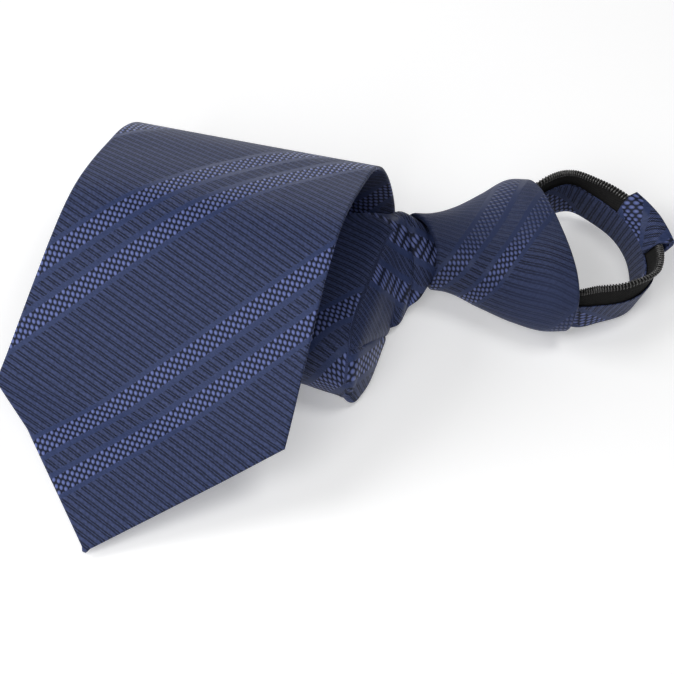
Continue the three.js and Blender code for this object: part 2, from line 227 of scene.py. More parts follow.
def makeWeaveGroup():
    tree, inside, outside = newGroup(
        "jacquardWeave",
        [("Cloth", "Vector", None), ("Shift", "Float", 0.0), ("Tone", "Float", 1.0),
         ("Contrast", "Float", 1.0)],
        [("Color", "Color", None), ("Height", "Float", None), ("Roughness", "Float", None)])
    place = addNode(tree, "ShaderNodeSeparateXYZ")
    feed(tree, place.inputs[0], inside.outputs["Cloth"])
    across, along = place.outputs[0], place.outputs[1]
    a = calc(tree, "ADD", calc(tree, "DIVIDE", across, weave["checkAcross"]), inside.outputs["Shift"])
    b = calc(tree, "DIVIDE", along, weave["checkAlong"])
    diagonal = calc(tree, "FLOORED_MODULO", calc(tree, "ADD", a, b), float(weave["repeat"]))
    honeycomb = bandMask(tree, diagonal, weave["honeycomb"], weave["borderSoftness"])
    plain = bandMask(tree, diagonal, weave["plain"], weave["borderSoftness"])

    # Ovals: an ellipse in each check, 1 less the squares of its two shares, raised in its middle.
    inCheck = [calc(tree, "SUBTRACT", calc(tree, "FRACT", c), 0.5) for c in (a, b)]
    x = calc(tree, "MULTIPLY", inCheck[0], weave["checkAcross"])
    y = calc(tree, "MULTIPLY", inCheck[1], weave["checkAlong"])
    tilt = math.radians(weave["ovalTilt"])
    lengthwise = calc(tree, "ADD", calc(tree, "MULTIPLY", x, math.cos(tilt)),
                      calc(tree, "MULTIPLY", y, math.sin(tilt)))
    sideways = calc(tree, "SUBTRACT", calc(tree, "MULTIPLY", x, math.sin(tilt)),
                    calc(tree, "MULTIPLY", y, math.cos(tilt)))
    square = [calc(tree, "POWER", calc(tree, "ABSOLUTE", calc(tree, "DIVIDE", v, s)), 2.0)
              for v, s in ((lengthwise, weave["ovalLength"]), (sideways, weave["ovalWidth"]))]
    oval = calc(tree, "SUBTRACT", 1.0, calc(tree, "MINIMUM", calc(tree, "ADD", *square), 1.0))

    # Ribs: two narrow grooves with a thin thread between them, then a broad rib, in each group.
    turn = math.radians(weave["ribAngle"])
    overRibs = calc(tree, "SUBTRACT", calc(tree, "MULTIPLY", along, math.cos(turn)),
                    calc(tree, "MULTIPLY", across, math.sin(turn)))
    alongRibs = calc(tree, "ADD", calc(tree, "MULTIPLY", along, math.sin(turn)),
                     calc(tree, "MULTIPLY", across, math.cos(turn)))
    inGroup = calc(tree, "FRACT", calc(tree, "DIVIDE", overRibs, weave["ribPitch"]))
    grooves = bandMask(tree, inGroup, weave["grooves"], weave["grooveSoftness"])
    threads = [calc(tree, "SINE", calc(tree, "MULTIPLY", v, 2 * math.pi / weave["threadPitch"]))
               for v in (alongRibs, overRibs)]
    ribShare = calc(tree, "MULTIPLY_ADD", grooves, -weave["grooveDepth"], weave["ribTone"])
    ribShare = calc(tree, "MULTIPLY_ADD", calc(tree, "MULTIPLY", *threads), weave["threadDepth"], ribShare)

    # Slubs: patches drawn out along the ribs, a little lighter or darker than the rest.
    slub = addNode(tree, "ShaderNodeTexNoise", noise_dimensions="2D")
    setInputs(slub, weave["slubNoise"])
    slubPlace = addNode(tree, "ShaderNodeCombineXYZ")
    for socket, way, stretch in zip(slubPlace.inputs, (overRibs, alongRibs), weave["slubStretch"]):
        feed(tree, socket, calc(tree, "MULTIPLY", way, stretch))
    feed(tree, slub.inputs["Vector"], slubPlace.outputs[0])
    slubShare = calc(tree, "MULTIPLY_ADD", slub.outputs["Fac"], weave["slubDepth"], -weave["slubDepth"] / 2)
    ribShare = calc(tree, "ADD", ribShare, slubShare)

    ground = blend(tree, ribShare, weave["dark"], weave["light"])
    plainShare = calc(tree, "MULTIPLY_ADD", slubShare, weave["plainSlubs"], weave["plainTone"])
    plainTone = blend(tree, plainShare, weave["dark"], weave["light"])
    plainTone = blend(tree, weave["plainShare"], plainTone, weave["plainColor"])
    ovalShare = calc(tree, "POWER", oval, weave["ovalPower"])
    ovalTone = blend(tree, ovalShare, weave["gap"], weave["bright"])
    color = blend(tree, plain, ground, plainTone)
    color = blend(tree, honeycomb, color, ovalTone)
    # Contrast below 1 fades the weave towards middleTone: on the knot this paints a highlight, the weave
    # full only in a band where its threads would catch the light.
    color = blend(tree, inside.outputs["Contrast"], weave["middleTone"], color)
    # Tone scales the colour: painted shade where a part's copy of the navy is darker.
    toned = addNode(tree, "ShaderNodeVectorMath", operation="SCALE")
    feed(tree, toned.inputs["Vector"], color)
    feed(tree, toned.inputs["Scale"], inside.outputs["Tone"])
    feed(tree, outside.inputs["Color"], toned.outputs[0])

    rest = calc(tree, "SUBTRACT", calc(tree, "SUBTRACT", 1.0, plain), honeycomb)
    ovalRise = calc(tree, "MULTIPLY", ovalShare, weave["ovalHeight"])
    height = calc(tree, "ADD", calc(tree, "MULTIPLY", rest, ribShare),
                  calc(tree, "MULTIPLY", honeycomb, ovalRise))
    height = calc(tree, "MULTIPLY_ADD", plain, weave["plainHeight"], height)
    roughness = calc(tree, "MULTIPLY_ADD", height, -weave["polish"], weave["roughness"])
    feed(tree, outside.inputs["Height"], height)
    feed(tree, outside.inputs["Roughness"], roughness)
    return tree


weaveGroup = makeWeaveGroup()


def startMaterial(name, values):
    # A new material, with the plain values of its shader set by the labels of their sockets.
    material = bpy.data.materials.new(name)
    material.use_nodes = True
    tree = material.node_tree
    shader = tree.nodes["Principled BSDF"]
    setInputs(shader, values)
    return material, tree, shader


def readCloth(tree):
    made = addNode(tree, "ShaderNodeUVMap", uv_map="cloth")
    return made.outputs[0]


def addBump(tree, shader, height, values):
    bump = addNode(tree, "ShaderNodeBump")
    setInputs(bump, values)
    feed(tree, bump.inputs["Height"], height)
    feed(tree, shader.inputs["Normal"], bump.outputs[0])


def paintedHighlightShare(tree, paintedHighlight):
    # How much of the weave's contrast shows: a painted highlight, full in a bell over the Y axis where the
    # knot's threads would catch the light, and muted elsewhere.
    coordinates = addNode(tree, "ShaderNodeTexCoord")
    place = addNode(tree, "ShaderNodeSeparateXYZ")
    feed(tree, place.inputs[0], coordinates.outputs["Object"])
    away = calc(tree, "DIVIDE", calc(tree, "SUBTRACT", place.outputs[1], paintedHighlight["middle"]), paintedHighlight["spread"])
    square = calc(tree, "MULTIPLY", away, away)
    bell = calc(tree, "EXPONENT", calc(tree, "MULTIPLY", square, -1.0))
    return calc(tree, "MULTIPLY_ADD", bell, 1 - paintedHighlight["least"], paintedHighlight["least"])


navy = {
    "shader": {"Sheen Weight": 0.06, "Sheen Roughness": 0.45, "Sheen Tint": (0.62, 0.68, 1, 1),
               "Specular IOR Level": 0.2},
    "bump": {"Strength": 0.55, "Distance": 0.00022},
}


def makeNavy(name, shift, paintedShade, paintedHighlight=None):
    material, tree, shader = startMaterial(name, navy["shader"])
    # The fourth argument scales the weave's colour: painted shade, the same navy darker on some parts.
    pattern = useGroup(tree, weaveGroup, Cloth=readCloth(tree), Shift=shift, Tone=paintedShade)
    # On the knot the weave's contrast follows a painted highlight band over the Y axis.
    if paintedHighlight:
        feed(tree, pattern.inputs["Contrast"], paintedHighlightShare(tree, paintedHighlight))
    feed(tree, shader.inputs["Base Color"], pattern.outputs["Color"])
    feed(tree, shader.inputs["Roughness"], pattern.outputs["Roughness"])
    addBump(tree, shader, pattern.outputs["Height"], navy["bump"])
    return material


tape = {
    "dark": (0.0022, 0.0021, 0.0021, 1), "light": (0.019, 0.0185, 0.018, 1),
    "loopPitch": (0.62, 0.5),  # mm, round the tape's section and along the tape
    "noise": {"Scale": 0.9, "Detail": 4.0},
    "shader": {"Roughness": 0.85, "Specular IOR Level": 0.3},
    "bump": {"Strength": 0.7, "Distance": 0.0002},
}


def makeTapeMaterial():
    # A matte knitted tape: rows of small loops, two waves multiplied.
    material, tree, shader = startMaterial("zipperTape", tape["shader"])
    place = addNode(tree, "ShaderNodeSeparateXYZ")
    feed(tree, place.inputs[0], readCloth(tree))
    waves = [calc(tree, "SINE", calc(tree, "MULTIPLY", place.outputs[k], 2 * math.pi / pitch))
             for k, pitch in enumerate(tape["loopPitch"])]
    loops = calc(tree, "MULTIPLY_ADD", calc(tree, "MULTIPLY", *waves), 0.5, 0.5)
    noise = addNode(tree, "ShaderNodeTexNoise", noise_dimensions="2D")
    setInputs(noise, tape["noise"])
    feed(tree, noise.inputs["Vector"], readCloth(tree))
    share = calc(tree, "MULTIPLY", loops, noise.outputs["Fac"])
    feed(tree, shader.inputs["Base Color"], blend(tree, share, tape["dark"], tape["light"]))
    addBump(tree, shader, loops, tape["bump"])
    return material


coil = {
    "dark": (0.014, 0.014, 0.015, 1), "light": (0.06, 0.058, 0.056, 1),
    "noise": {"Scale": 900.0}, "roughness": 0.2, "roughnessSpread": 0.15,
    "shader": {"Specular IOR Level": 0.8},
}


def makeCoilMaterial():
    # Glossy nylon, whose colour and roughness both follow one fine noise.
    material, tree, shader = startMaterial("nylonCoil", coil["shader"])
    noise = addNode(tree, "ShaderNodeTexNoise")
    setInputs(noise, coil["noise"])
    coordinates = addNode(tree, "ShaderNodeTexCoord")
    feed(tree, noise.inputs["Vector"], coordinates.outputs["Object"])
    share = noise.outputs["Fac"]
    roughness = calc(tree, "MULTIPLY_ADD", share, coil["roughnessSpread"], coil["roughness"])
    feed(tree, shader.inputs["Base Color"], blend(tree, share, coil["dark"], coil["light"]))
    feed(tree, shader.inputs["Roughness"], roughness)
    return material


# Camera: the aim is in mm from the maker's zero, and the distance and the sensor are in mm too.
view = {"pixels": 674, "pixelsPerMm": 3.8, "elevation": 45.0, "distance": 6000.0, "sensor": 36.0,
        "aim": (0.35, -28.8, 15.4), "farthest": 100.0}


def makeCamera():
    # Looks down at the photo's angle from far off, so that its lines stay almost parallel.
    width = view["pixels"] / view["pixelsPerMm"]
    aim = (Vector(view["aim"]) + Vector(toFrame)) * millimetre
    tilt = math.radians(view["elevation"])
    back = Vector((0, -math.cos(tilt), math.sin(tilt)))
    data = bpy.data.cameras.new("camera")
    data.sensor_width = view["sensor"]
    data.lens = view["sensor"] * view["distance"] / width
    data.clip_end = view["farthest"]
    camera = bpy.data.objects.new("camera", data)
    camera.location = aim + back * view["distance"] * millimetre
    camera.rotation_euler = (-back).to_track_quat("-Z", "Y").to_euler()
    scene.collection.objects.link(camera)
    scene.camera = camera


# Lights: places and sizes in metres, power in watts.
studio = {
    "lights": (
        {"name": "leftLight", "place": (-0.75, 0.1, 0.6), "size": 0.6, "power": 5.6},
        {"name": "rimLight", "place": (-0.1, 0.95, 0.16), "size": 0.3, "power": 1.7},
        {"name": "frontLight", "place": (-0.2, -0.42, 0.42), "size": 0.4, "power": 2.0},
        {"name": "sideLight", "place": (0.5, 0.0, 1.0), "size": 0.4, "power": 3.0},
    ),
    "aim": (0, 0, 0.02), "air": (0.95, 0.96, 1, 1), "airStrength": 0.06,
}


def makeLights():
    middle = Vector(studio["aim"])
    for light in studio["lights"]:
        data = bpy.data.lights.new(light["name"], "AREA")
        data.size = light["size"]
        data.energy = light["power"]
        made = bpy.data.objects.new(light["name"], data)
        made.location = light["place"]
        made.rotation_euler = (middle - made.location).to_track_quat("-Z", "Y").to_euler()
        scene.collection.objects.link(made)
    world = bpy.data.worlds.new("studio")
    world.use_nodes = True
    backdrop = world.node_tree.nodes["Background"]
    backdrop.inputs[0].default_value = studio["air"]
    backdrop.inputs[1].default_value = studio["airStrength"]
    scene.world = world
    scene.view_settings.view_transform = "Standard"


ground = {
    "half": 4000.0, "level": -0.05,  # mm
    "shader": {"Base Color": (0.84, 0.84, 0.84, 1), "Roughness": 0.9, "Emission Color": (1, 1, 1, 1),
               "Emission Strength": 0.3},
}


def makeFloor():
    # One flat square, a hair under the tie, with a little light of its own.
    half, low = ground["half"], ground["level"]
    corners = np.array([[[-half, -half, low], [half, -half, low]], [[-half, half, low], [half, half, low]]])
    material = startMaterial("paleFloor", ground["shader"])[0]
    floor = makeMesh("floor", corners, corners[..., :2], material, wrap=False)
    floor.data.flip_normals()


# Blade: tip, front, roll, leg, under layer, small roll and gathered neck, one strip of folded cloth.
# Lengths in mm and angles in degrees. Its own axes start at edgeX, edgeY: t to the right, u forward.
blade = {
    "thickness": 2.6, "width": 80.7, "taper": 0.118,  # taper: mm narrower for each mm of length
    "tip": 43.0, "point": 1.2, "tipRows": (1, .97, .66, .33),  # shares of the way to the point
    "turn": -21.7, "edgeX": 10.3, "edgeY": 12.2, "middle": -0.385, "middleSwing": 0.045,
    "reach": 87.0, "archHeight": 45.0, "skew": 8.0, "droop": 6.6, "backReach": 14.6, "legRight": -0.3,
    "rollReach": 52.0, "rollHeight": 20.0, "cornerRise": 0.36, "neckLevel": 0.93,
    # arch and back: u as a share of reach or of backReach, z of archHeight. Under: u as a share of
    # rollReach, left and right of the width.
    "archRows": ((.92, .445), (.8, .59), (.68, .735), (.56, .87), (.45, .965), (.35, 1), (.24, .97),
                 (.12, .895), (.01, .805)),
    "backRows": ((.4, .68), (.7, .51), (.9, .33), (1, .17), (.97, .085)),
    "underRows": ((-.22, -.76, -.03), (-.1, -.76, -.03), (.2, -.7, 0), (.5, -.62, .03), (.75, -.56, .06)),
    "rowSteps": 11, "tipSteps": 12, "acrossSteps": 72, "edgeFan": 0.03, "fanSteps": 7,
    "foldMiddle": 0.62, "foldReach": 0.5, "backRamp": 9.0,  # the last two in mm from the edge
    # the crease's two ends, and the rows past the corners and the shares across where it fades in
    "creaseFrom": (3.4, -18.2), "creaseTo": (12.6, -12.65), "creaseDepth": 0.9, "creaseWidth": 0.8,
    "creaseRows": (21, 22), "creaseAcross": (0.4, 0.6),
    # where the cloth of the small roll and of the neck starts, in rows past the corners
    "turnFrom": 19.5, "neckFrom": 27.5,
    "turnCloth": 9.1, "turnShift": 19.4, "neckCloth": ((.7, .29), (-1.69, 1.03)), "neckShift": 28.2,
    "flankCloth": ((1.56, .6), (-.69, .93)), "flankShift": 46.7, "neckWrap": 0.1,
    # The last entry keeps the blade's navy at full brightness; the knot and band are darkened from it as
    # painted shade.
    "flankPlane": (42.8, -2.15, -.12), "weaveShift": 9.6, "paintedShade": 1.0,
}
cornerRow = len(blade["tipRows"])

# Far edge, crest, flank and near edge of each row: t and u as shares of rollReach, z of rollHeight.
turnRows = np.array((
    ((-.78, .94, .18), (.2, .94, .18), (.215, .94, .15), (.222, .94, .12)),
    ((-.76, .985, .5), (.238, .985, .5), (.246, .965, .3), (.25, .945, .08)),
    ((-.7, .94, .8), (.228, .94, .82), (.258, .92, .46), (.262, .895, .08)),
    ((-.62, .84, .8), (.2, .84, .95), (.262, .825, .52), (.268, .81, .08)),
    ((-.54, .68, .72), (.172, .7, .97), (.243, .69, .54), (.258, .69, .08)),
    ((-.46, .44, .7), (.158, .53, 1), (.224, .56, .55), (.243, .57, .08)),
    ((-.33, .17, .78), (.14, .33, 1.02), (.212, .42, .56), (.232, .475, .08)),
    ((-.16, .03, .86), (.132, .17, 1.04), (.215, .3, .6), (.226, .415, .08)),
    ((.01, -.05, .84), (.15, .04, 1.02), (.255, .17, .68), (.255, .38, .1)),
))

# The neck, from the turn to the pocket of the knot: x a share of that way, y and z in halves of the
# knot's low width and thickness.
neckRows = np.array((
    ((-.2, .98, .1), (.14, .46, 1.06), (.3, -.68, .1), (.22, -1.1, -1.1)),
    ((.1, .76, -.1), (.42, .4, .98), (.58, -.68, .1), (.6, -.92, -.9)),
    ((.62, .56, -.35), (.93, .32, .56), (1.05, -.58, .1), (1.02, -.64, -.4)),
    ((1.5, .5, -.3), (1.62, .24, .44), (1.7, -.42, .12), (1.7, -.5, -.3)),
))

knot = {
    "length": 31.3, "startX": 24.6, "y": 6.6, "drift": -1.4, "wall": 1.5, "pocket": 9.0,
    "lowWidth": 21.4, "lowThickness": 16.0, "topWidth": 48.4, "topThickness": 24.0,
    "lowRim": (.125, .061, .048), "topRim": (.23, .019, .093), "ovalPower": 0.72, "neckStartX": 16.2,
    # The last entry darkens the knot's navy to 0.8: painted shade, a shaded copy of the blade's cloth.
    "cadSides": 28, "clothGather": 1.18, "weaveShift": 36.0, "paintedShade": 0.8,
    # The next entry is a painted highlight: the bell where the knot's weave shows its full contrast.
    "paintedHighlight": {"middle": 0.017, "spread": 0.0065, "least": 0.3},  # m on the frame's Y axis
    # place along the knot, growth in width, in thickness, drift to the side, and sag of the middle
    "rows": ((0, -.02, 0, 0, 0), (.12, 0, .08, .2, .012), (.35, .265, .35, .65, .052),
             (.6, .64, .69, .92, .046), (.85, .96, .95, .92, .005), (1, .96, .94, 1, 0)),
    # depth in each pocket as a share of its own, and the mm that the wall is thicker there
    "lowFloor": ((1, .8), (1, .8), (.5, 0)), "topFloor": ((.7, 0), (1.4, 1.5), (1.4, 1.5)),
    "floorHole": 0.03, "lipSteps": 9, "lengthSteps": 61, "roundSteps": 161,
}
knotMiddleZ = knot["topThickness"] / 2


def onBlade(t, u, z):
    # From the blade's own axes, t across and u forward, to the floor's.
    turn = math.radians(blade["turn"])
    return np.stack([blade["edgeX"] + t * math.cos(turn) + u * math.sin(turn),
                     blade["edgeY"] + t * math.sin(turn) - u * math.cos(turn), z + 0 * t], axis=-1)


def straightRows(u, z, left, right, lift):
    # Four points of each row on a straight line between its two ends. Lifted rows swing forward and
    # sink to the left in proportion to their height.
    t = np.stack([left, right], axis=1)
    share = lift * (-t / blade["width"]) * (z[:, None] / blade["archHeight"])
    ends = onBlade(t, u[:, None] + blade["skew"] * share, z[:, None] - blade["droop"] * share)
    k = np.linspace(0, 1, 4).reshape(1, 4, 1)
    return ends[:, :1] * (1 - k) + ends[:, 1:] * k


def bladeRows():
    # Four points in each row down the strip. The tip is a triangle from its point to the corners, the
    # arch and the back follow a drawn curve and narrow with its length, the under layer lies flat,
    # and the rows of the small roll and of the neck are given point by point.
    width, half, reach = blade["width"], blade["thickness"] / 2, blade["reach"]
    cornerZ = blade["cornerRise"] * blade["archHeight"]
    tipRun = math.sqrt(blade["tip"] ** 2 - (cornerZ - half) ** 2)
    k = np.array(blade["tipRows"])
    tipWidth = np.maximum(width * (1 - k), blade["point"])
    middle = blade["middle"] * width
    tip = straightRows(reach + tipRun * k, cornerZ + (half - cornerZ) * k,
                       middle - tipWidth / 2, middle + tipWidth / 2, 0)
    arch, back = np.array(blade["archRows"]), np.array(blade["backRows"])
    u = np.concatenate([[reach], arch[:, 0] * reach, -back[:, 0] * blade["backReach"]])
    z = np.concatenate([[cornerZ], arch[:, 1] * blade["archHeight"], back[:, 1] * blade["archHeight"]])
    length = np.concatenate([[0], np.cumsum(np.hypot(np.diff(u), np.diff(z)))])
    rowWidth = width - blade["taper"] * length
    swing = np.clip(1 - u / reach, 0, 1)
    right = np.where(u < 0, blade["legRight"], middle - blade["middleSwing"] * width * swing + rowWidth / 2)
    arched = straightRows(u, z, right - rowWidth, right, 1)
    under = np.array(blade["underRows"])
    flat = straightRows(under[:, 0] * blade["rollReach"], np.full(len(under), half),
                        under[:, 1] * width, under[:, 2] * width, 0)
    turned = onBlade(turnRows[..., 0] * blade["rollReach"], turnRows[..., 1] * blade["rollReach"],
                     np.maximum(turnRows[..., 2] * blade["rollHeight"], half))
    neckZ = knotMiddleZ * blade["neckLevel"] + neckRows[..., 2] * knot["lowThickness"] / 2
    neck = np.stack([knot["neckStartX"] + neckRows[..., 0] * (knot["startX"] - knot["neckStartX"]),
                     knot["y"] + neckRows[..., 1] * knot["lowWidth"] / 2,
                     np.maximum(neckZ, half)], axis=-1)
    return np.concatenate([tip, arched, flat, turned, neck])


def edgeShares():
    # Shares from 0 to 1, evenly spaced but for a fine fan near each end that rounds the fold.
    edge = blade["edgeFan"]
    fan = edge * (1 - np.cos(np.linspace(0, math.pi / 2, blade["fanSteps"])))
    return np.concatenate([fan, np.linspace(edge, 1 - edge, blade["acrossSteps"])[1:-1], 1 - fan[::-1]])


def bladeSurface():
    # Splines through the four points of each row, and then from row to row. The tip stays straight.
    # at is the place of each line of the grid, counted in rows.
    rows = bladeRows()
    across = splineThrough(np.swapaxes(rows, 0, 1), edgeShares() * (rows.shape[1] - 1)).swapaxes(0, 1)
    tipAt = np.linspace(0, cornerRow, cornerRow * blade["tipSteps"] + 1)[:-1]
    k = np.minimum(tipAt.astype(int), cornerRow - 1)
    f = (tipAt - k)[:, None, None]
    tip = across[k] * (1 - f) + across[k + 1] * f
    spans = len(rows) - 1 - cornerRow
    body = splineThrough(across[cornerRow:], np.linspace(0, spans, spans * blade["rowSteps"] + 1))
    at = np.concatenate([tipAt, cornerRow + np.linspace(0, spans, len(body))])
    return creased(np.concatenate([tip, body]), at), at


def belowCrease(grid):
    # How far each place lies in front of the slanted crease where the neck folds over the small roll.
    (x1, d1), (x2, d2) = blade["creaseFrom"], blade["creaseTo"]
    return d1 + (grid[..., 0] - x1) * (d2 - d1) / (x2 - x1) - (grid[..., 1] + grid[..., 2])


def creased(grid, at):
    # The crease as a groove across the flank: a bell curve of the distance to it.
    firstRow, lastRow = blade["creaseRows"]
    flank = smoothStep(np.linspace(0, 1, grid.shape[1]), *blade["creaseAcross"])
    rows = smoothStep(at, cornerRow + firstRow, cornerRow + lastRow)[:, None]
    bell = np.exp(-(belowCrease(grid) / blade["creaseWidth"]) ** 2)
    depth = blade["creaseDepth"] * bell * flank * rows
    return grid + gridNormals(grid) * depth[..., None]


def turnedCloth(grid):
    # On the small roll and the layer over it: t runs across, round the ridge, and s forward, round
    # the roll. Both are lengths in the upright planes of the blade's own axes, then turned a little.
    turn, skew = math.radians(blade["turn"]), math.radians(blade["turnCloth"])
    x, y = grid[..., 0] - blade["edgeX"], grid[..., 1] - blade["edgeY"]
    t, u = x * math.cos(turn) + y * math.sin(turn), x * math.sin(turn) - y * math.cos(turn)
    t = t[:, :1] + runningLength(np.stack([t, grid[..., 2]], axis=-1), 1)
    rolled = runningLength(np.stack([u, grid[..., 2]], axis=-1), 0)
    s = u[-1:] + rolled[-1:] - rolled
    return np.stack([t * math.cos(skew) - s * math.sin(skew),
                     t * math.sin(skew) + s * math.cos(skew) + blade["turnShift"]], axis=-1)


def drawnCloth(grid, axes, shift):
    # On the flank and the neck the cloth is drawn askew: t and s are two slanted sums of the way
    # towards the knot and the way down the slope. What stands out of the flank's plane goes round it.
    down = -(grid[..., 1] + grid[..., 2]) / math.sqrt(2)
    near = (grid[..., 2] - grid[..., 1]) / math.sqrt(2)
    level, byX, byDown = blade["flankPlane"]
    proud = near - (level + byX * grid[..., 0] + byDown * down)
    way = np.stack([grid[..., 0] - blade["neckWrap"] * proud, down], axis=-1)
    return way @ np.array(axes).T + np.array([0, shift])


def bladeCloth(grid, at):
    # Place on the flat cloth: across from the middle of each row, and along from the corner row,
    # forward. The small roll, the flank and the neck have their own. Also t at the near edge.
    acrossRow = runningLength(grid, 1)
    width = acrossRow[:, -1]
    t = acrossRow - width[:, None] / 2
    corner = np.searchsorted(at, cornerRow)
    along = runningLength(grid, 0)
    middle = grid.shape[1] // 2
    along[:corner] = along[:corner, middle:middle + 1] - along[corner, middle] + along[corner]
    cloth = np.stack([t, along[corner] - along], axis=-1)
    starts = [cornerRow + blade["turnFrom"], cornerRow + blade["neckFrom"]]
    turnStart, neckStart = np.searchsorted(at, starts)
    cloth[turnStart:] = turnedCloth(grid[turnStart:])
    pastCrest = np.arange(grid.shape[1]) > grid.shape[1] / 3  # the crest is the second of four points
    rows = np.arange(len(at))[:, None]
    below = belowCrease(grid) >= 0
    flank = (rows >= turnStart) & (rows < neckStart) & pastCrest & below
    gathered = (rows >= neckStart) | ((rows >= turnStart) & pastCrest & ~below)
    flankCloth = drawnCloth(grid, blade["flankCloth"], blade["flankShift"])
    neckCloth = drawnCloth(grid, blade["neckCloth"], blade["neckShift"])
    placed = np.where(flank[..., None], flankCloth, cloth)
    return np.where(gathered[..., None], neckCloth, placed), cloth[:, -1, 0]


def foldedCloth(grid, cloth, nearEdge):
    # Front and back faces of a folded strip as one closed ring a row. The ring starts at the seam in
    # the middle of the back. The front keeps its height to the fold, which is a small half ellipse,
    # and the back face rises to meet it in a smooth ramp. The back's cloth is the front's, mirrored
    # in each fold.
    half, fold = blade["thickness"] / 2, blade["foldMiddle"]
    acrossRow = runningLength(grid, 1)
    toEdge = np.minimum(acrossRow, acrossRow[:, -1:] - acrossRow)
    rounding = (1 - fold) * np.sqrt(np.clip(1 - (1 - np.minimum(toEdge / blade["foldReach"], 1)) ** 2, 0, 1))
    ramp = smoothStep(toEdge, 0, blade["backRamp"])
    normals = gridNormals(grid)
    front = grid - normals * ((fold + rounding) * half)[..., None]
    back = grid - normals * ((fold - rounding - 2 * fold * ramp) * half)[..., None]
    seam = grid.shape[1] // 2
    ring = np.concatenate([back[:, seam:0:-1], front[:, :-1], back[:, :seam:-1]], axis=1)
    ring[..., 2] = np.maximum(ring[..., 2], 0)
    t, s = cloth[..., 0], cloth[..., 1]
    farEdge, nearEdge = t[:, :1], nearEdge[:, None]
    ringT = np.concatenate([2 * farEdge - t[:, seam:0:-1], t[:, :-1], 2 * nearEdge - t[:, :seam:-1],
                            2 * nearEdge - t[:, seam:seam + 1]], axis=1)
    ringS = np.concatenate([s[:, seam:0:-1], s[:, :-1], s[:, :seam:-1], s[:, seam:seam + 1]], axis=1)
    return ring, np.stack([ringT, ringS], axis=-1)


def makeBlade(material):
    grid, at = bladeSurface()
    cloth, nearEdge = bladeCloth(grid, at)
    ring, ringCloth = foldedCloth(grid, cloth, nearEdge)
    made = makeMesh("tieBlade", ring + toFrame, ringCloth, material)
    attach(made, "root")
    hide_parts("blade")


# Knot

def knotRing(along, inset, shrink, angles):
    # An oval with flattened sides at each place along the knot, leaning with its rim.
    # along, inset and shrink are arrays of one length; the result has a row for each.
    table = np.array(knot["rows"])
    shares = splineThrough(table, np.interp(along, table[:, 0], np.arange(len(table))))
    wide = knot["lowWidth"] + (knot["topWidth"] - knot["lowWidth"]) * shares[:, 1]
    wide = wide[:, None] / 2
    thick = knot["lowThickness"] + (knot["topThickness"] - knot["lowThickness"]) * shares[:, 2]
    thick = thick[:, None] / 2
    c, s = np.cos(angles)[None], np.sin(angles)[None]
    y = np.sign(c) * np.abs(c) ** knot["ovalPower"] * (wide - inset[:, None]) * shrink[:, None]
    z = np.sign(s) * np.abs(s) ** knot["ovalPower"] * (thick - inset[:, None]) * shrink[:, None]
    lean, bulge, tilt = (a + (b - a) * along[:, None] for a, b in zip(knot["lowRim"], knot["topRim"]))
    back = lean * (y / wide) + bulge * (y / wide) ** 2 - tilt * (z / thick)
    middleY = knot["y"] + knot["drift"] * shares[:, 3:4]
    middleZ = knotMiddleZ - knot["topThickness"] * shares[:, 4:5]
    return np.stack([knot["startX"] + knot["length"] * (along[:, None] - back), middleY + y,
                     np.maximum(middleZ + z, 0)], axis=-1)


def frameShift():
    # The frame's place less the maker's, from the far top corner of the knot's rings.
    table = np.array(knot["rows"])
    along, angles = table[:, 0], np.arange(knot["cadSides"]) * 2 * math.pi / knot["cadSides"]
    rings = knotRing(along, 0 * along, 0 * along + 1, angles)
    corner = np.array(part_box("knot")[1]) / millimetre
    return (corner - rings.reshape(-1, 3).max(axis=0)) * np.array([1, 1, 0])


def knotSurface():
    # The outside, a half round lip at each end and the two pockets, as one grid of rings, with its
    # cloth: across along the knot, and along round it.
    wall, deep = knot["wall"], knot["pocket"] / knot["length"]
    lip = np.linspace(0, math.pi, knot["lipSteps"])
    lipAlong = np.sin(lip) * wall / 2 / knot["length"]
    lipInset = wall / 2 * (1 + np.cos(lip))
    outer = np.linspace(0, 1, knot["lengthSteps"])[1:-1]
    low, top = np.array(knot["lowFloor"]), np.array(knot["topFloor"])
    along = np.concatenate([deep * low[:, 0], -lipAlong, outer, 1 + lipAlong, 1 - deep * top[:, 0]])
    inset = np.concatenate([wall + low[:, 1], lipInset, 0 * outer, lipInset[::-1], wall + top[:, 1]])
    shrink = np.ones(len(along))
    shrink[[0, -1]] = knot["floorHole"]
    angles = np.linspace(0, 2 * math.pi, knot["roundSteps"]) - math.pi / 2
    grid = knotRing(along, inset, shrink, angles)
    outward, turned = runningLength(grid, 0), runningLength(grid, 1)
    start, crest = len(low) + len(lip) // 2, np.argmin(np.abs(angles - math.pi / 2))
    x, y = outward - outward[start][None], turned - turned[:, crest:crest + 1]
    return grid, np.stack([x * knot["clothGather"], y], axis=-1)


def makeKnot(material):
    grid, cloth = knotSurface()
    made = makeMesh("tieKnot", grid[:, :-1] + toFrame, cloth, material)
    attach(made, "root")
    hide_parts("knot")


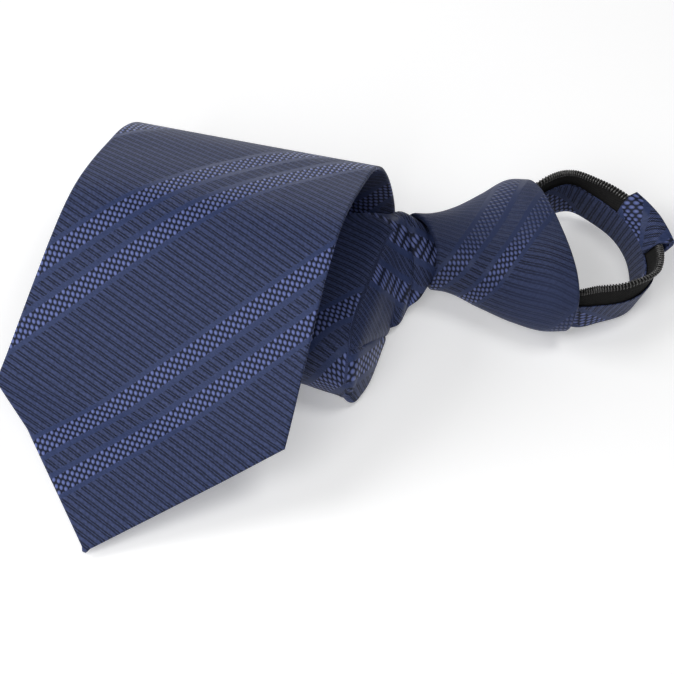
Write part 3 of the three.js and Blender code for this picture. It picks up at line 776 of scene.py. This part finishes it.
# Neck loop, in mm. In its rows out is a share of reach past the knot, side a share of breadth, lift
# the foot's height as a share of the band's, lean and tapeLean the slopes outwards, and tall the
# share of the full height.
loop = {
    "bandHeight": 10.0, "bandThickness": 2.6, "tapeRise": 4.9, "tapeThickness": 1.2, "tapeTuck": 3.0,
    "toothSize": 1.9, "reach": 23.0, "breadth": 44.0, "centreY": 6.8, "clearance": 0.35, "steps": 260,
    "bandRound": 0.5, "tapeRound": 0.3, "tapeStop": 0.3,  # tapeStop: a share of toothSize
    "keeperWall": 1.0, "keeperFrom": 15 / 44, "keeperTo": 22 / 44, "keeperFlare": 1.4,
    # keeperHem: its height as a share of the band's. keeperBrow: half its width over the coil's crown,
    # as a share of the coil's radius.
    "keeperHem": 0.22, "keeperRound": 0.45, "keeperBrow": 0.6, "keeperSteps": 60,
    "coilPitch": 0.68, "wire": 0.24, "coilSteps": 12, "wireSides": 6, "coilLowest": 0.05,
    # The last entry darkens the band's navy to 0.92: painted shade, a shaded copy of the blade's cloth.
    "weaveShift": 34.0, "paintedShade": 0.92,
    "rows": (
        (-.36, .31, .56, -.02, 0, .82), (.02, .48, .54, 0, -.1, .94), (.28, .545, .38, .03, -.14, .99),
        (.55, .48, .22, .06, .2, .98), (.8, .36, .1, .12, .75, .98), (.95, .2, .03, .26, 1, 1),
        (1, .03, 0, .4, 1.05, 1), (.985, -.12, 0, .5, .75, 1), (.86, -.255, .06, .46, -.1, 1),
        (.57, -.35, .16, .36, -.48, 1), (.3, -.415, .28, .14, -.1, .92), (.04, -.375, .56, .02, 0, .84),
        (-.2, -.34, .58, 0, 0, .8)),
}


def loopStations(at):
    # The foot, the way out of the loop, the band's and the tape's way up, and the height, at shares
    # of the loop's length.
    rows = np.array(loop["rows"])
    places = at * (len(rows) - 1)
    feet = splineThrough(np.stack([knot["startX"] + knot["length"] + rows[:, 0] * loop["reach"],
                                   loop["centreY"] + rows[:, 1] * loop["breadth"],
                                   rows[:, 2] * loop["bandHeight"]], axis=-1), places)
    slopes = splineThrough(rows[:, 3:6], places)
    ahead = np.gradient(feet, axis=0)
    ahead[:, 2] = 0
    ahead = unit(ahead)
    out = np.stack([-ahead[:, 1], ahead[:, 0], 0 * ahead[:, 0]], axis=-1)
    up, tapeUp = (unit(np.array([0, 0, 1.0]) + out * slopes[:, k:k + 1]) for k in (0, 1))
    return feet, out, up, tapeUp, slopes[:, 2]


def onLoop(stations, across, rise):
    # Places in the band's section: what is higher than the band follows the tape's slope.
    feet, out, up, tapeUp, tall = (v[:, None] for v in stations)
    low, high = np.minimum(rise, loop["bandHeight"]), np.maximum(rise - loop["bandHeight"], 0)
    grid = (feet + out * across[..., None] + up * (tall * low)[..., None]
            + tapeUp * (tall * high)[..., None])
    grid[..., 2] = np.maximum(grid[..., 2], 0)
    return grid


def loopStrip(section, at, flare):
    # A section of across and up places carried along the loop. What lies outside its middle grows
    # with the square of the way along.
    stations = loopStations(at)
    growth = flare * np.linspace(0, 1, len(at))[:, None] ** 2
    across = section[None, :, 0] + growth * (section[None, :, 0] > 0)
    return onLoop(stations, across, section[None, :, 1] + 0 * across), stations[0]


def roundedOutline(corners, radius, steps=5):
    # A closed outline whose corners are bends of the given radius, or of 0.45 of the shorter side
    # where that is less: each is a quadratic curve drawn towards its corner.
    corners = np.array(corners, float)
    before, after = np.roll(corners, 1, axis=0), np.roll(corners, -1, axis=0)
    toBefore, toAfter = unit(before - corners), unit(after - corners)
    reach = np.minimum(radius, np.minimum(np.linalg.norm(before - corners, axis=1),
                                          np.linalg.norm(after - corners, axis=1)) * 0.45)[:, None, None]
    k = np.linspace(0, 1, steps)[None, :, None]
    start, end = corners[:, None] + toBefore[:, None] * reach, corners[:, None] + toAfter[:, None] * reach
    bend = start * (1 - k) ** 2 + corners[:, None] * 2 * k * (1 - k) + end * k**2
    return bend.reshape(-1, 2)


def stripCloth(feet, section):
    # The weave's width goes round the section's outline, and its length along the foot line.
    along = runningLength(feet[:, None], 0)
    closed = np.concatenate([section, section[:1]])
    around = runningLength(closed[None], 1)
    return np.stack([around + 0 * along, along + 0 * around], axis=-1)


def makeStrip(name, section, at, material, node, flare=0.0):
    section = section[::-1]  # so that the faces point outwards
    grid, feet = loopStrip(section, at, flare)
    made = makeMesh(name, grid + toFrame, stripCloth(feet, section), material)
    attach(made, "root")
    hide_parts(node)
    return made, float(runningLength(feet[:, None], 0)[-1, 0]) * millimetre


def makeNeckband(material):
    # A block with a slot in its upper edge, in which the tape stands.
    w, height = loop["bandThickness"] / 2, loop["bandHeight"]
    slot, bottom = loop["tapeThickness"] / 2 + loop["clearance"], loop["bandHeight"] - loop["tapeTuck"]
    section = roundedOutline([(-w, 0), (w, 0), (w, height), (slot, height), (slot, bottom),
                              (-slot, bottom), (-slot, height), (-w, height)], loop["bandRound"])
    made, length = makeStrip("tieNeckband", section, np.linspace(0, 1, loop["steps"]), material,
                             "neckband")


def makeTape(material):
    # A thin strip that may bend where it leaves the band.
    w, low = loop["tapeThickness"] / 2, loop["bandHeight"] - loop["tapeTuck"] + loop["clearance"]
    bend = loop["bandHeight"]
    high = bend + loop["tapeRise"] - loop["toothSize"] * loop["tapeStop"]
    section = roundedOutline([(-w, low), (w, low), (w, bend), (w, high), (-w, high), (-w, bend)],
                             loop["tapeRound"])
    made, length = makeStrip("tieZipperTape", section, np.linspace(0, 1, loop["steps"]), material,
                             "zipper_tape")


def makeCoil(material):
    # One nylon thread wound round the tape's edge: a helix whose middle follows the loop, as a tube.
    feet = loopStations(np.linspace(0, 1, loop["steps"]))[0]
    length = runningLength(feet[:, None], 0)[-1, 0]
    turns = int(length / loop["coilPitch"])
    sides, wire = loop["wireSides"], loop["wire"]
    at = np.linspace(0, 1, turns * loop["coilSteps"] + 1)
    stations = loopStations(at)
    angle = (at * turns * 2 * math.pi)[:, None]
    radius = loop["toothSize"] / 2 - wire
    crown = loop["bandHeight"] + loop["tapeRise"]
    path = onLoop(stations, np.sin(angle) * radius, crown - wire - radius + np.cos(angle) * radius)[:, 0]
    ahead = unit(np.gradient(path, axis=0))
    side = unit(np.cross(ahead, stations[3]))
    other = np.cross(side, ahead)
    ring = np.linspace(0, 2 * math.pi, sides, endpoint=False)[None, :, None]
    grid = path[:, None] + wire * (side[:, None] * np.cos(ring) + other[:, None] * np.sin(ring))
    grid[..., 2] = np.maximum(grid[..., 2], loop["coilLowest"])
    cloth = np.zeros(grid.shape[:1] + (sides + 1, 2))
    made = makeMesh("tieZipperCoil", grid + toFrame, cloth, material)
    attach(made, "root")
    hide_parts("zipper_teeth")


def coilSide(margin):
    # Half of the outline round the coil, from its widest place to its crown, grown by a margin.
    crown, radius = loop["bandHeight"] + loop["tapeRise"], loop["toothSize"] / 2
    return [(radius + margin, crown - radius), (radius * loop["keeperBrow"] + margin * 0.5, crown + margin)]


def makeKeeper(material):
    # A cloth sleeve folded over the tape and the coil and down the outside of the band.
    gap, wall = loop["clearance"], loop["keeperWall"]
    brow, hem = loop["bandHeight"] + gap, loop["keeperHem"] * loop["bandHeight"]
    outside, tapeSide = loop["bandThickness"] / 2 + gap, loop["tapeThickness"] / 2 + gap
    inner, outer = coilSide(gap), coilSide(gap + wall)
    section = roundedOutline(
        [(outside, hem), (outside + wall, hem), (outside + wall, brow), *outer,
         *[(-a, r) for a, r in outer[::-1]], (-tapeSide - wall, brow), (-tapeSide, brow),
         *[(-a, r) for a, r in inner], *inner[::-1], (outside, brow)], loop["keeperRound"])
    at = np.linspace(loop["keeperFrom"], loop["keeperTo"], loop["keeperSteps"])
    made, length = makeStrip("tieKeeper", section, at, material, "keeper", loop["keeperFlare"])


toFrame = frameShift()
print("maker's zero lies at", toFrame.round(3), "mm in the frame")
makeCamera()
makeLights()
makeFloor()
print("camera, lights and floor made")
makeBlade(makeNavy("navyBlade", blade["weaveShift"], blade["paintedShade"]))
print("blade made")
makeKnot(makeNavy("navyKnot", knot["weaveShift"], knot["paintedShade"], knot["paintedHighlight"]))
print("knot made")
navyBand = makeNavy("navyBand", loop["weaveShift"], loop["paintedShade"])
makeNeckband(navyBand)
makeTape(makeTapeMaterial())
makeCoil(makeCoilMaterial())
makeKeeper(navyBand)
print("neck loop made")
